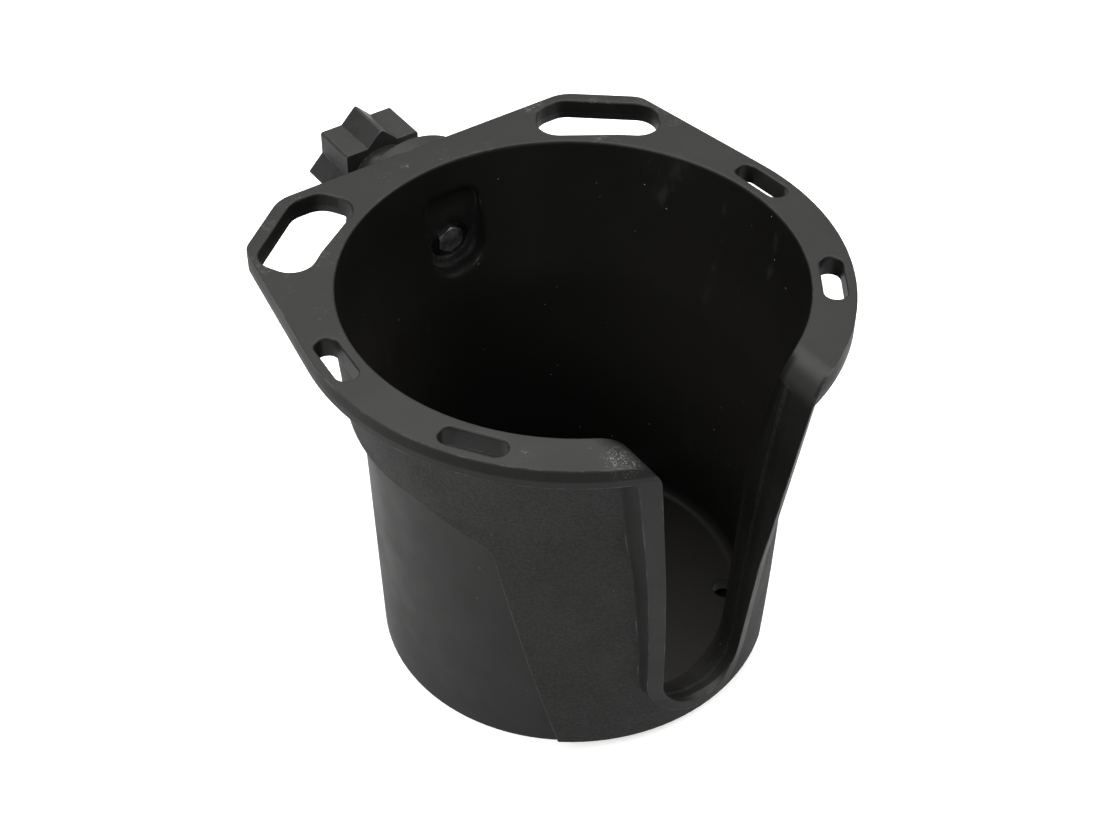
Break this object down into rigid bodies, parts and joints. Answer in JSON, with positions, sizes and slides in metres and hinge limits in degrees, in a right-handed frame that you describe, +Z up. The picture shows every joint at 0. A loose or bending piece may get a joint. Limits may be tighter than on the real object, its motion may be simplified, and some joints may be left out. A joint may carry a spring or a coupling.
{
  "type": "desk clamp cup holder",
  "caption": "Slotted plastic cup holder with a strap flange, carried by a swivelling screw clamp that grips a desk's edge.",
  "frame": {"origin": "centre of the cup's flat underside, on the cup's own axis", "axes": "+Z up along the cup's axis, +Y towards the clamp and its star knob, the cup's open slot facing -Y"},
  "size_m": [0.114, 0.143, 0.0941],
  "materials": {
    "shell_plastic": "satin moulded plastic, finely stippled on the collar and front panel",
    "bracket_plastic": "glass-filled moulded plastic with a fine even texture",
    "knob_plastic": "satin moulded plastic",
    "dark_steel": "dark zinc-plated steel, slightly worn on the corners",
    "plain_steel": "plain zinc-plated steel",
    "thread_brass": "turned brass",
    "soft_rubber": "dull black rubber"
  },
  "bodies": {
    "cup": {"cup_body": "shell_plastic", "pivot_bolt": "dark_steel", "bolt_washer": "dark_steel", "friction_ring": "soft_rubber"},
    "bracket": {"clamp_bracket": "bracket_plastic", "bracket_bush": "plain_steel", "upper_jaw_pad": "soft_rubber", "edge_pad": "soft_rubber", "jaw_nut": "plain_steel"},
    "knob_washers": {"wave_washer": "plain_steel", "knob_washer": "plain_steel"},
    "knob": {"star_knob": "knob_plastic", "knob_insert": "thread_brass", "knob_cap": "knob_plastic"},
    "foot": {"pressure_foot": "bracket_plastic", "foot_pad": "soft_rubber"},
    "screw": {"clamp_screw": "plain_steel", "foot_clip": "plain_steel", "thumb_knob": "knob_plastic", "thumb_pin": "plain_steel"}
  },
  "joints": [
    {"name": "bracket_swivel", "type": "hinge", "parent": "cup", "child": "bracket", "pos_m": [0, 0.0604, 0.0743], "axis": [0, 1, 0], "continuous": true},
    {"name": "knob_travel", "type": "slide", "parent": "cup", "child": "knob_washers", "axis": [0, 1, 0], "range_m": [0, 0.003]},
    {"name": "knob_turn", "type": "hinge", "parent": "knob_washers", "child": "knob", "pos_m": [0, 0.0743, 0.0743], "axis": [0, 1, 0], "range_deg": [-10, 1560]},
    {"name": "foot_travel", "type": "slide", "parent": "bracket", "child": "foot", "axis": [0, 0, 1], "range_m": [-0.0185, 0.004]},
    {"name": "screw_turn", "type": "hinge", "parent": "foot", "child": "screw", "pos_m": [0, 0.079, 0.02], "axis": [0, 0, 1], "range_deg": [-6680, 1460]}
  ],
  "couplings": [
    {"joint": "knob_turn", "follows": "knob_travel", "rad_per_m": 8976},
    {"joint": "screw_turn", "follows": "foot_travel", "rad_per_m": 6283.2}
  ]
}
